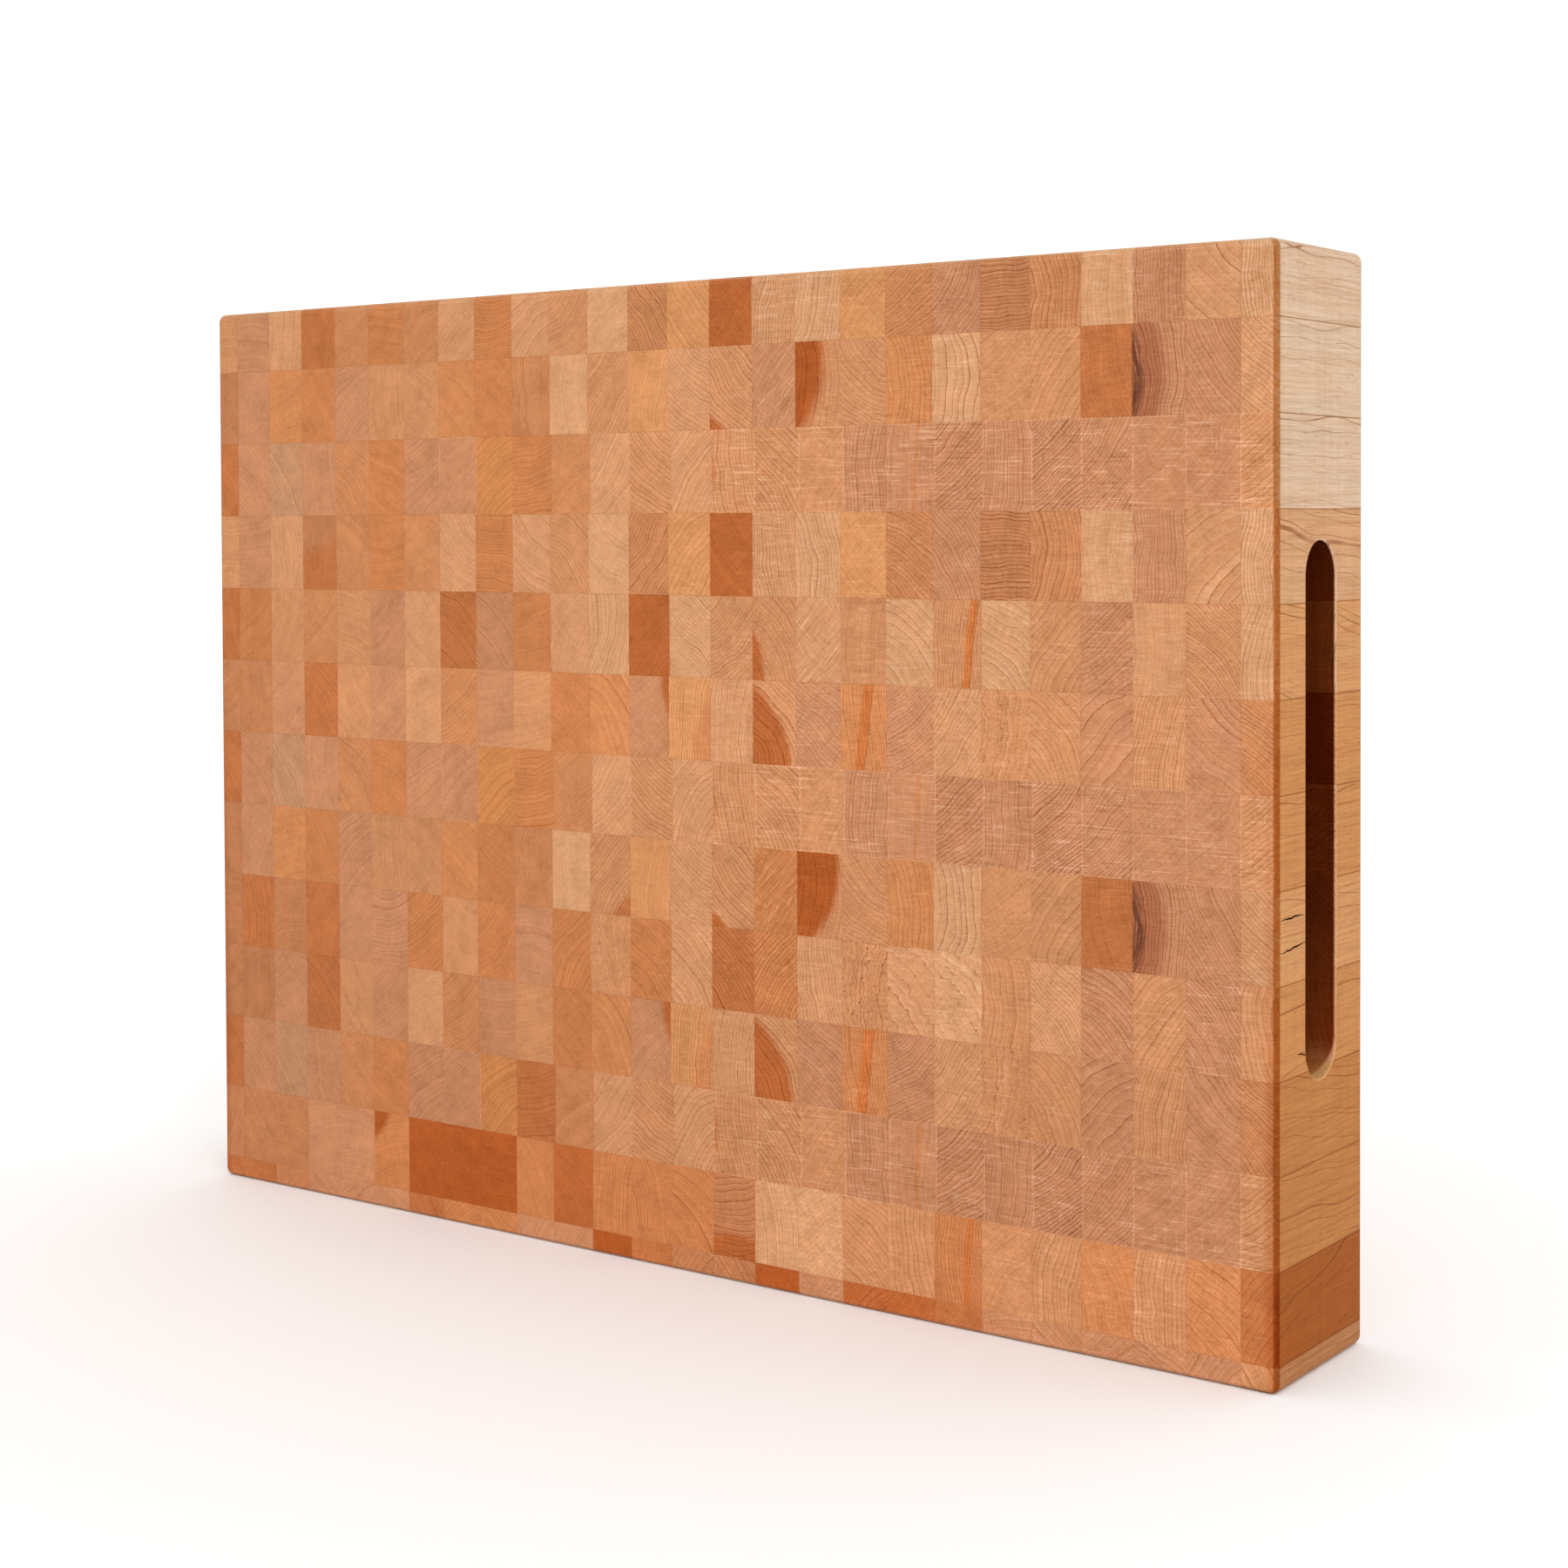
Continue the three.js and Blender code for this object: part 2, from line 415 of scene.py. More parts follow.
def slot_sections():
    """Depth and half width of the router's cut, from outside the wood to the slot's floor."""
    sections = [(-OVERSHOOT, SLOT_RADIUS + LIP_RADIUS)]
    for step in range(SLOT_ROUND_STEPS + 1):
        angle = math.pi / 2 * step / SLOT_ROUND_STEPS
        depth = LIP_RADIUS * (1 - math.cos(angle))
        sections.append((depth, SLOT_RADIUS + LIP_RADIUS * (1 - math.sin(angle))))
    for step in range(SLOT_ROUND_STEPS + 1):
        angle = math.pi / 2 * step / SLOT_ROUND_STEPS
        depth = SLOT_DEPTH - FLOOR_RADIUS * (1 - math.sin(angle))
        sections.append((depth, SLOT_RADIUS - FLOOR_RADIUS * (1 - math.cos(angle))))
    return sections


def slot_outline(half_width):
    """The slot's outline as y and z, seen from the end of the board."""
    outline = []
    for middle, start in ((SLOT_STRAIGHT, 0), (-SLOT_STRAIGHT, math.pi)):
        for step in range(SLOT_ARC_STEPS + 1):
            angle = start + math.pi * step / SLOT_ARC_STEPS
            y = half_width * math.cos(angle)
            z = HEIGHT / 2 + middle + half_width * math.sin(angle)
            outline.append((y, z))
    return outline


def cutter_object(name, solid):
    """An object for a solid to be cut out."""
    mesh = bpy.data.meshes.new(name)
    solid.to_mesh(mesh)
    solid.free()
    cutter = bpy.data.objects.new(name, mesh)
    bpy.context.scene.collection.objects.link(cutter)
    return cutter


def slot_cutter(side):
    """The solid that is cut out of the board's right end (side 1) or left end (side -1)."""
    cutter = bmesh.new()
    rings = []
    for depth, half_width in slot_sections():
        x = side * (HALF_LENGTH - depth)
        rings.append([cutter.verts.new((x, y, z)) for y, z in slot_outline(half_width)])
    for outer, inner in zip(rings, rings[1:]):
        count = len(outer)
        for i in range(count):
            j = (i + 1) % count
            cutter.faces.new((outer[i], outer[j], inner[j], inner[i]))
    cutter.faces.new(rings[0])
    cutter.faces.new(rings[-1])
    bmesh.ops.recalc_face_normals(cutter, faces=cutter.faces)
    return cutter_object("slot_cutter", cutter)


def check_cutter():
    """The thin wedges that the drying checks open in the right end face."""
    cutter = bmesh.new()
    for number, ((start_y, start_z), (end_y, end_z)) in enumerate(CHECKS):
        waver = random.Random(f"check {number}")
        upper, lower = [], []
        for step in range(CHECK_STEPS + 1):
            along = step / CHECK_STEPS
            y = start_y + (end_y - start_y) * along
            z = start_z + (end_z - start_z) * along + waver.uniform(-1, 1) * CHECK_WAVER
            wave = CHECK_BLUNT + (1 - 2 * CHECK_BLUNT) * along
            half_width = CHECK_WIDTH / 2 * math.sin(math.pi * wave)
            upper.append((y, z + half_width))
            lower.append((y, z - half_width))
        outline = upper + lower[::-1]
        outside = [cutter.verts.new((HALF_LENGTH + OVERSHOOT, y, z)) for y, z in outline]
        inside = [cutter.verts.new((HALF_LENGTH - CHECK_DEPTH, y, z)) for y, z in outline]
        for i in range(len(outline)):
            j = (i + 1) % len(outline)
            cutter.faces.new((outside[i], outside[j], inside[j], inside[i]))
        last = 2 * CHECK_STEPS + 1
        for i in range(CHECK_STEPS):
            for ring in (outside, inside):
                cutter.faces.new((ring[i], ring[i + 1], ring[last - i - 1], ring[last - i]))
    bmesh.ops.recalc_face_normals(cutter, faces=cutter.faces)
    return cutter_object("check_cutter", cutter)


def carved(points, faces, cutters):
    """The block less the cutters."""
    mesh = bpy.data.meshes.new("block")
    mesh.from_pydata(points, [], faces)
    block = bpy.data.objects.new("block", mesh)
    bpy.context.scene.collection.objects.link(block)
    for cutter in cutters:
        cut = block.modifiers.new(cutter.name, "BOOLEAN")
        cut.operation = "DIFFERENCE"
        cut.solver = "EXACT"
        cut.object = cutter
    graph = bpy.context.evaluated_depsgraph_get()
    result = bpy.data.meshes.new_from_object(block.evaluated_get(graph), depsgraph=graph)
    new_points = [tuple(vertex.co) for vertex in result.vertices]
    new_faces = [list(polygon.vertices) for polygon in result.polygons]
    bpy.data.objects.remove(block)
    bpy.data.meshes.remove(mesh)
    bpy.data.meshes.remove(result)
    return new_points, new_faces


def on_slot_wall(points, face):
    """Whether all of a face lies on the slot's surface."""
    reach = SLOT_RADIUS + LIP_RADIUS + GLUE_LINE
    for number in face:
        x, y, z = points[number]
        past_straight = max(abs(z - HEIGHT / 2) - SLOT_STRAIGHT, 0)
        if math.hypot(y, past_straight) > reach or abs(x) > HALF_LENGTH + GLUE_LINE:
            return False
    return True


def in_drying_check(points, face):
    """Whether a face lies in a drying check, behind the end face and no wider than one."""
    across = [points[number][0] for number in face]
    heights = [points[number][2] for number in face]
    behind = HALF_LENGTH - CHECK_DEPTH - GLUE_LINE <= min(across) < HALF_LENGTH - GLUE_LINE
    return behind and max(heights) - min(heights) < CHECK_WIDTH + 2 * CHECK_WAVER


# ---------------------------------------------------------------------------
# What the wood of each block looks like
# ---------------------------------------------------------------------------

# Values that a block hands to its material, and the kind of each.
BLOCK_VALUES = {
    "tone": "FLOAT_COLOR",
    "long_tone": "FLOAT_COLOR",
    "zone_tone": "FLOAT_COLOR",
    "centre": "FLOAT_VECTOR",
    "pattern": "FLOAT_VECTOR",
    "pith": "FLOAT_VECTOR",
    "rings": "FLOAT_VECTOR",
    "zone_centre": "FLOAT_VECTOR",
    "zone_span": "FLOAT_VECTOR",
    "vein": "FLOAT_VECTOR",
    "half_size": "FLOAT_VECTOR",
    "turn": "FLOAT",
    "fibre_fall": "FLOAT",
    "roughness": "FLOAT",
    "scratches": "FLOAT_VECTOR",
    "routed": "FLOAT",
}


def block_look(row, number, x_span, z_span):
    """The values of one block's wood, by their names in BLOCK_VALUES."""
    slice_letter = SLICES[row]
    panel = slice_letter.upper()
    strip = random.Random(f"strip {panel} {number}")
    piece = random.Random(f"piece {row} {number}")
    figure = FIGURE_CHARTS[panel].split()[number]
    style = STYLES[figure.strip("0123456789*+~")]
    if figure[0] in NUMBER_PAD:
        angle = NUMBER_PAD[figure[0]] + strip.uniform(-PITH_JITTER, PITH_JITTER)
    else:
        angle = strip.uniform(0, 360)
    distance = style.pith_distance * strip.uniform(*PITH_DISTANCE_RANGE)
    pith = (
        distance * math.cos(math.radians(angle)),
        distance * math.sin(math.radians(angle)),
    )
    spacing = style.spacing * strip.uniform(*SPACING_RANGE)
    strength = STRONG_RINGS if "*" in figure else style.strength
    wave = WAVY_WAVE if "~" in figure else CALM_WAVE
    scratched = "+" in figure or (panel == SCRATCHED_SLICE and number > BLOCKS_PER_ROW / 2)
    zone = ZONES.get((panel, number, row + 1), ZONES.get((panel, number), NO_ZONE))
    zone_angle = math.radians(zone.angle)
    brightness = 1 + ROW_BRIGHTNESS[row] / 100 + piece.uniform(-TONE_JITTER, TONE_JITTER)
    tone = TONES[ODD_BLOCKS.get((row + 1, number), TONE_CHARTS[panel][number])]
    long_tone = mixed(tone, LONG_GRAIN_PALE, LONG_GRAIN_LIGHTENING)
    light_on_long_grain = LIGHT_ON_FACE
    if number == BLOCKS_PER_ROW - 1:
        long_tone = LONG_GRAIN_TONES[RIGHT_END_CHART[row]]
        light_on_long_grain = LIGHT_ON_END
    if number == 0:
        long_tone = LONG_GRAIN_TONES[LEFT_END_CHART[row]]
    nth_slice = SLICES.upper()[:row].count(panel)
    middle = (sum(x_span) / 2, -nth_slice * SLICE_STEP, sum(z_span) / 2)
    slant = math.radians(SLANTED_SCRATCHES.get((panel, number), 0))
    scratches = STRONG_SCRATCHES if scratched or slant else FAINT_SCRATCHES
    along = number / (BLOCKS_PER_ROW - 1)
    rough = min(max((along - ROUGH_FROM) / (ROUGH_TO - ROUGH_FROM), 0), 1)
    return {
        "tone": wood_colour(tone, LIGHT_ON_FACE, brightness),
        "long_tone": wood_colour(long_tone, light_on_long_grain),
        "zone_tone": wood_colour(TONES[zone.tone], LIGHT_ON_FACE),
        "centre": middle,
        "pattern": tuple(strip.uniform(0, PATTERN_REACH) for _ in range(3)),
        "pith": (*pith, spacing),
        "rings": (strength, wave, strip.uniform(*LEAN_RANGE)),
        "zone_centre": (
            zone.bend * math.cos(zone_angle),
            zone.bend * math.sin(zone_angle),
            zone.bend,
        ),
        "zone_span": (zone.start, zone.end, zone.soft),
        "vein": (zone.vein, zone.vein_width, zone.vein_depth),
        "half_size": (
            (x_span[1] - x_span[0]) / 2,
            (z_span[1] - z_span[0]) / 2,
            PALE_GLUE if panel == SCRATCHED_SLICE and scratched else DARK_GLUE,
        ),
        "turn": -1.0 if slice_letter.islower() else 1.0,
        "fibre_fall": FIBRE_FALL.get(row + 1, 0.0),
        "roughness": SMOOTH_GRAIN + (ROUGH_GRAIN - SMOOTH_GRAIN) * rough,
        "scratches": (math.cos(slant), math.sin(slant), scratches),
        "routed": DEEP_SLOT_SHADE_BY_ROW.get(row + 1, FULL_DEEP_SLOT_SHADE),
    }


# ---------------------------------------------------------------------------
# Pieces: each is the set of glued blocks that one CAD node stands for
# ---------------------------------------------------------------------------

# Edges sharper than this, in degrees, stay sharp.
SHARP_ANGLE = 35

class Piece:
    """The blocks of one piece, gathered into one mesh of separate closed solids."""

    def __init__(self, node):
        self.node = node
        self.points = []
        self.faces = []
        self.values = {name: [] for name in BLOCK_VALUES}

    def add(self, mesh, look):
        points, faces = mesh
        start = len(self.points)
        self.points += [tuple(MM * c for c in point) for point in points]
        for face in faces:
            self.faces.append([start + number for number in face])
            if not look["cut"]:
                routed = 0.0
            elif on_slot_wall(points, face):
                routed = look["routed"]
            else:
                routed = CHECKED if in_drying_check(points, face) else 0.0
            for name in BLOCK_VALUES:
                self.values[name].append(routed if name == "routed" else look[name])

    def finish(self, material):
        mesh = bpy.data.meshes.new(self.node)
        mesh.from_pydata(self.points, [], self.faces)
        for name, kind in BLOCK_VALUES.items():
            attribute = mesh.attributes.new(name, kind, "FACE")
            values = self.values[name]
            if kind == "FLOAT":
                attribute.data.foreach_set("value", values)
            else:
                key = "color" if kind == "FLOAT_COLOR" else "vector"
                attribute.data.foreach_set(key, [part for value in values for part in value])
        mesh.materials.append(material)
        mesh.polygons.foreach_set("use_smooth", [True] * len(mesh.polygons))
        mesh.set_sharp_from_angle(angle=math.radians(SHARP_ANGLE))
        piece = bpy.data.objects.new(self.node + "_blocks", mesh)
        bpy.context.scene.collection.objects.link(piece)
        flatten = piece.modifiers.new("face_weighted_normals", "WEIGHTED_NORMAL")
        flatten.keep_sharp = True
        flatten.weight = 100
        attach(piece, "root")
        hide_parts(self.node)


def shy(span, outer_low, outer_high):
    """A block's span less the glue lines, which lie inside the board only."""
    low = span[0] if span[0] <= outer_low else span[0] + GLUE_LINE / 2
    high = span[1] if span[1] >= outer_high else span[1] - GLUE_LINE / 2
    return low, high


# No two strips are quite as wide, so joints stray. One panel's joints also drift to the right,
# most of all about two thirds of the way along.
JOINT_JITTER = 0.3
DRIFTING_PANEL = "C"
JOINT_DRIFT = 1.5
DRIFT_SKEW = 1.6


def row_joints(row, core_low, core_high):
    """The x of a row's left end, its joints from left to right, and its right end."""
    first = core_low.x / MM - CAD_GLUE_LINE / 2
    last = core_high.x / MM + CAD_GLUE_LINE / 2
    width = (last - first) / CORE_BLOCKS
    panel = SLICES[row].upper()
    jitter = random.Random(f"joints {panel}")
    joints = [-HALF_LENGTH, first - width, first]
    for number in range(1, CORE_BLOCKS):
        along = number / CORE_BLOCKS
        x = first + number * width + jitter.uniform(-JOINT_JITTER, JOINT_JITTER)
        if panel == DRIFTING_PANEL:
            x += JOINT_DRIFT * math.sin(math.pi * along ** DRIFT_SKEW)
        joints.append(x)
    return joints + [last, last + width, HALF_LENGTH]


def row_span(row, core_low, core_high):
    """The bottom and top of a row."""
    bottom = 0 if row == ROW_COUNT - 1 else core_low.z / MM - CAD_GLUE_LINE / 2
    top = HEIGHT if row == 0 else core_high.z / MM + CAD_GLUE_LINE / 2
    return bottom, top


def slot_reaches(z_span):
    return z_span[1] > SLOT_LOW and z_span[0] < SLOT_HIGH


def face_seat(row, number):
    """How far a block's faces stand back from the rim, since no two blocks dry alike."""
    if row in (0, ROW_COUNT - 1) or number in (0, BLOCKS_PER_ROW - 1):
        return 0.0
    return random.Random(f"seat {row} {number}").uniform(0, SEAT_DEPTH)


def make_block(row, number, joints, z_span, cutters, half=None):
    """The mesh and the look of one block, or of its front or back half."""
    x_span = (joints[number], joints[number + 1])
    seat = face_seat(row, number)
    front, back = -HALF_THICKNESS + seat, HALF_THICKNESS - seat
    y_span = {None: (front, back), "front": (front, 0), "back": (0, back)}[half]
    x_size = shy(x_span, -HALF_LENGTH, HALF_LENGTH)
    z_size = shy(z_span, 0, HEIGHT)
    mesh = block_mesh(x_size, y_span, z_size)
    look = block_look(row, number, x_span, z_span)
    near_end = number < 2 or number > BLOCKS_PER_ROW - 3
    look["cut"] = near_end and slot_reaches(z_span)
    if look["cut"]:
        cuts = [cutters["left" if number < 2 else "right"]]
        if number == BLOCKS_PER_ROW - 1 and half == "front":
            cuts.append(cutters["checks"])
        mesh = carved(*mesh, cuts)
    return mesh, look


def make_row(row, cutters, material):
    name = f"row_{row + 1:02d}_"
    core_low, core_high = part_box(name + "core")
    joints = row_joints(row, core_low, core_high)
    z_span = row_span(row, core_low, core_high)

    def make_piece(part, blocks):
        piece = Piece(name + part)
        for number, half in blocks:
            piece.add(*make_block(row, number, joints, z_span, cutters, half))
        piece.finish(material)

    make_piece("core", [(number, None) for number in range(2, 2 + CORE_BLOCKS)])
    last = BLOCKS_PER_ROW - 1
    for side, outer, inner in (("left", 0, 1), ("right", last, last - 1)):
        if name + side + "_end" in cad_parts:
            make_piece(side + "_end", [(outer, None), (inner, None)])
        else:
            make_piece(side + "_cheek_front", [(outer, "front")])
            make_piece(side + "_cheek_back", [(outer, "back")])
            make_piece(side + "_slot_block", [(inner, None)])


# ---------------------------------------------------------------------------
# Shader arithmetic
# ---------------------------------------------------------------------------

# Sockets of a Mix node that mixes colours: its two colours and its result.
FIRST_COLOUR = 6
SECOND_COLOUR = 7
MIXED_COLOUR = 2


class Wire:
    """An output of a shader node, which can be used in sums like a number."""

    def __init__(self, tree, socket):
        self.tree = tree
        self.socket = socket

    def math(self, operation, *others, clamp=False):
        node = self.tree.nodes.new("ShaderNodeMath")
        node.operation = operation
        node.use_clamp = clamp
        for socket, value in zip(node.inputs, (self, *others)):
            plug(self.tree, socket, value)
        return Wire(self.tree, node.outputs[0])

    def __add__(self, other):
        return self.math("ADD", other)

    def __sub__(self, other):
        return self.math("SUBTRACT", other)

    def __rsub__(self, other):
        return (self * -1) + other

    def __mul__(self, other):
        return self.math("MULTIPLY", other)

    def __truediv__(self, other):
        return self.math("DIVIDE", other)

    def step(self, low, high):
        """0 below low and 1 above high, with a smooth step between them."""
        node = self.tree.nodes.new("ShaderNodeMapRange")
        node.interpolation_type = "SMOOTHSTEP"
        plug(self.tree, node.inputs["Value"], self)
        plug(self.tree, node.inputs["From Min"], low)
        plug(self.tree, node.inputs["From Max"], high)
        return Wire(self.tree, node.outputs["Result"])


def plug(tree, socket, value):
    """Links a wire to an input, or sets the input to a plain value."""
    if isinstance(value, Wire):
        tree.links.new(value.socket, socket)
    else:
        socket.default_value = value


class Shader:
    """Writes a material's node tree."""

    def __init__(self, name):
        self.material = bpy.data.materials.new(name)
        self.material.use_nodes = True
        self.tree = self.material.node_tree
        self.surface = self.tree.nodes["Principled BSDF"]

    def node(self, kind, output, settings=None, **inputs):
        """A new node's output. An input's name is written with _ for a space."""
        node = self.tree.nodes.new(kind)
        for key, value in (settings or {}).items():
            setattr(node, key, value)
        for key, value in inputs.items():
            plug(self.tree, node.inputs[key.replace("_", " ")], value)
        return Wire(self.tree, node.outputs[output])

    def block_value(self, name):
        kind = BLOCK_VALUES[name]
        output = {"FLOAT": "Fac", "FLOAT_COLOR": "Color", "FLOAT_VECTOR": "Vector"}[kind]
        return self.node("ShaderNodeAttribute", output, {"attribute_name": name})

    def split(self, vector):
        node = self.tree.nodes.new("ShaderNodeSeparateXYZ")
        plug(self.tree, node.inputs[0], vector)
        return [Wire(self.tree, output) for output in node.outputs]

    def join(self, x, y, z):
        return self.node("ShaderNodeCombineXYZ", "Vector", X=x, Y=y, Z=z)

    def noise(self, vector, scale=1.0, detail=1.0, rough=0.5):
        """Smooth noise from 0 to 1 about 0.5, a bump about every 1 / scale."""
        return self.node(
            "ShaderNodeTexNoise", "Fac",
            Vector=vector, Scale=scale, Detail=detail, Roughness=rough,
        )

    def colour_mix(self, share, first, second, blend="MIX"):
        node = self.tree.nodes.new("ShaderNodeMix")
        node.data_type = "RGBA"
        node.blend_type = blend
        node.clamp_factor = True
        plug(self.tree, node.inputs["Factor"], share)
        plug(self.tree, node.inputs[FIRST_COLOUR], first)
        plug(self.tree, node.inputs[SECOND_COLOUR], second)
        return Wire(self.tree, node.outputs[MIXED_COLOUR])

    def tinted(self, colour, share, tint):
        """The colour, multiplied by the tint where share is 1."""
        return self.colour_mix(share, colour, (*tint, 1.0), "MULTIPLY")

    def shaded(self, colour, change):
        """The colour made lighter and paler by a positive change, darker and redder below 0."""
        node = self.tree.nodes.new("ShaderNodeVectorMath")
        node.operation = "MULTIPLY"
        red, green, blue = [change * share + 1.0 for share in SHADE_SHARES]
        plug(self.tree, node.inputs[0], colour)
        plug(self.tree, node.inputs[1], self.join(red, green, blue))
        return Wire(self.tree, node.outputs["Vector"])


# ---------------------------------------------------------------------------
# The maple
# ---------------------------------------------------------------------------

# What each mark of the wood, and each painted shade or highlight, does to its colour: multipliers
# of red, green and blue.
RING_TINT = (0.60, 0.42, 0.28)
EARLY_TINT = (1.12, 1.26, 1.50)
BLUSH_TINT = (1.00, 0.93, 0.88)
SCRATCH_TINT = (1.32, 1.62, 2.05)
SCORE_TINT = (0.70, 0.58, 0.50)
PORE_TINT = (0.78, 0.68, 0.58)
VEIN_TINT = (0.30, 0.26, 0.28)
# Rounded edges: painted shade of the dark band where neither light reaches, mixed with end grain
# darkened by oil.
EDGE_OIL_AND_SHADE_TINT = (0.60, 0.34, 0.14)
# A painted highlight where the faces begin to round over.
RIM_HIGHLIGHT_TINT = (1.10, 1.20, 1.32)
SHEET_TINT = (0.46, 0.27, 0.14)
JOINT_TINT = (0.62, 0.44, 0.30)
# Darkens a strip of end grain near the board's ends, more towards the bottom.
END_STRIP_TINT = (0.84, 0.68, 0.55)
# The slot's lip: a painted highlight on its upper side, over paler worn wood all along it.
LIP_HIGHLIGHT_AND_WEAR_TINT = (1.50, 2.10, 3.10)
# Painted shade on the slot's walls, less on their upward-facing parts, where painted light falls.
SLOT_WALL_SHADE_TINT = (0.45, 0.22, 0.09)
# Painted shade deep in the slot, streaked along the cut.
DEEP_SLOT_SHADE_TINT = (0.33, 0.20, 0.13)
# Painted shade inside the drying checks.
CHECK_SHADE_TINT = (0.26, 0.10, 0.05)

# How much of a change in shade red, green and blue each take.
SHADE_SHARES = (0.75, 1.1, 1.5)

# Rings are cut lengthwise on the long grain, where they lie about this far apart.
SHEET_SPACING = 4.6

# The end grain near the board's ends is darker in a strip, more and more from the upper height to
# the lower.
END_STRIP_LOW = 60
END_STRIP_HIGH = 330

# The painted shade deep in the slot is weaker at its lower end, where painted light falls, and
# grows to full strength over this height above it.
SLOT_SHADE_FADE = 75

# The oil has soaked in, so that the wood barely mirrors anything.
OIL_GLOSS = 0.03

# How high the relief of fibres and scratches is.
RELIEF_HEIGHT = 0.06


def oiled_maple():
    shader = Shader("oiled_maple")
    position = shader.node("ShaderNodeTexCoord", "Object")
    x, y, z = [axis * (1 / MM) for axis in shader.split(position)]
    normal = shader.node("ShaderNodeTexCoord", "Normal")
    outward, along_fibre, upward = shader.split(normal)
    facing = along_fibre * along_fibre
    end_grain = facing.step(0.35, 0.85)
    long_grain = 1 - end_grain

    # Place in the block, in the panel's own sense of up, and in the endless pattern.
    middle_x, middle_y, middle_z = shader.split(shader.block_value("centre"))
    turn = shader.block_value("turn")
    roughness = shader.block_value("roughness")
    right = x - middle_x
    depth = y - middle_y
    up = (z - middle_z) * turn
    seed_x, seed_y, seed_z = shader.split(shader.block_value("pattern"))
    fibre = shader.join(right + seed_x, depth * 0.12 + seed_y, up + seed_z)

    # Growth rings: distance from the pith, bent by slow and fast waves.
    strength, wave, drift = shader.split(shader.block_value("rings"))
    pith_x, pith_z, spacing = shader.split(shader.block_value("pith"))
    slow_x = shader.noise(fibre, 0.05, 1.5) - 0.5
    slow_z = shader.noise(shader.join(up + seed_x, depth * 0.1, right + seed_y), 0.05, 1.5) - 0.5
    quick = shader.noise(fibre, 0.24, 2.0, 0.6) - 0.5
    ring_x = right - pith_x + slow_x * 7.0 + depth * 0.02 * drift
    ring_z = up - pith_z + slow_z * 7.0 - depth * 0.012 * drift
    radius = (ring_x * ring_x + ring_z * ring_z).math("SQRT") + quick * wave * 4.0
    uneven = shader.noise(shader.join(radius, seed_x, seed_z), 0.22, 1.0) - 0.5
    rings = radius / spacing + uneven * 1.5
    phase = rings.math("FRACT")
    ring_number = rings.math("FLOOR")
    ring_luck = shader.node(
        "ShaderNodeTexWhiteNoise", "Value", {"noise_dimensions": "1D"}, W=ring_number,
    )
    broken = shader.noise(fibre, 0.55, 2.0).step(0.32, 0.58)
    shown = (end_grain * 0.75 + 0.25) * (roughness * 0.4 + 0.5)
    luck = (ring_luck * 0.6 + 0.4) * (broken * 0.5 + 0.5) * strength * shown
    before = (1 - phase) * spacing
    after = phase * spacing
    line = (1 - before.step(0.15, 0.6)) * luck
    early = (1 - after.step(0.2, 0.8)) * luck * (roughness * 0.5 + 0.1) * end_grain
    late = phase.step(0.2, 0.9) * strength * shown
    bands = shader.noise(shader.join(radius, seed_z, depth * 0.02), 0.42, 2.0, 0.6) - 0.5

    # Rays run out from the pith, and fibres run along the block.
    angle = ring_z.math("ARCTAN2", ring_x)
    rays = shader.noise(shader.join(angle * 95.0, radius * 0.12, seed_x), 1.0, 2.0, 0.6)
    fibres = shader.noise(
        shader.join(right + seed_x, depth * 0.035 + seed_y, up + seed_z), 1.5, 3.0, 0.7,
    )
    pores = fibres.step(0.60, 0.72)
    mottle = shader.noise(fibre, 0.09, 2.0) - 0.5
    cloud = shader.noise(fibre, 0.38, 2.0, 0.6) - 0.5

    # Scratches and scores that sanding left across the faces, in patches.
    way_x, way_z, scratched = shader.split(shader.block_value("scratches"))
    along = x * way_x + z * way_z
    across = z * way_x - x * way_z
    patch = shader.noise(shader.join(x, y * 0.2, z), 0.035, 2.0).step(0.42, 0.62)
    fine = shader.noise(shader.join(along * 0.06, y * 0.02, across * 1.1), 1.0, 2.0, 0.6)
    cross = shader.noise(shader.join(across * 0.08, y * 0.02, along), 1.0, 2.0, 0.6)
    marked = scratched * (patch * 0.4 + 0.6) * (roughness - 0.4) * end_grain
    scratch = fine.step(0.56, 0.68) * marked
    score = (1 - fine.step(0.30, 0.44)) * marked
    upright = cross.step(0.58, 0.70) * marked

    # A zone of other wood, with its vein.
    zone_x, zone_z, bend = shader.split(shader.block_value("zone_centre"))
    start, end, soft = shader.split(shader.block_value("zone_span"))
    vein_at, vein_width, vein_depth = shader.split(shader.block_value("vein"))
    off_x = right - zone_x + slow_x * 3.0
    off_z = up - zone_z + slow_z * 3.0
    toward = bend - (off_x * off_x + off_z * off_z).math("SQRT") + quick * 0.8
    zone = toward.step(start - soft, start + soft) * (1 - toward.step(end - soft, end + soft))
    from_vein = (toward - vein_at).math("ABSOLUTE") / vein_width
    streaks = shader.noise(shader.join(toward * 0.9, off_z * 0.08, seed_x), 1.0, 2.0, 0.6)
    vein = (1 - from_vein.step(0.2, 1.1)) * streaks.step(0.3, 0.55) * vein_depth

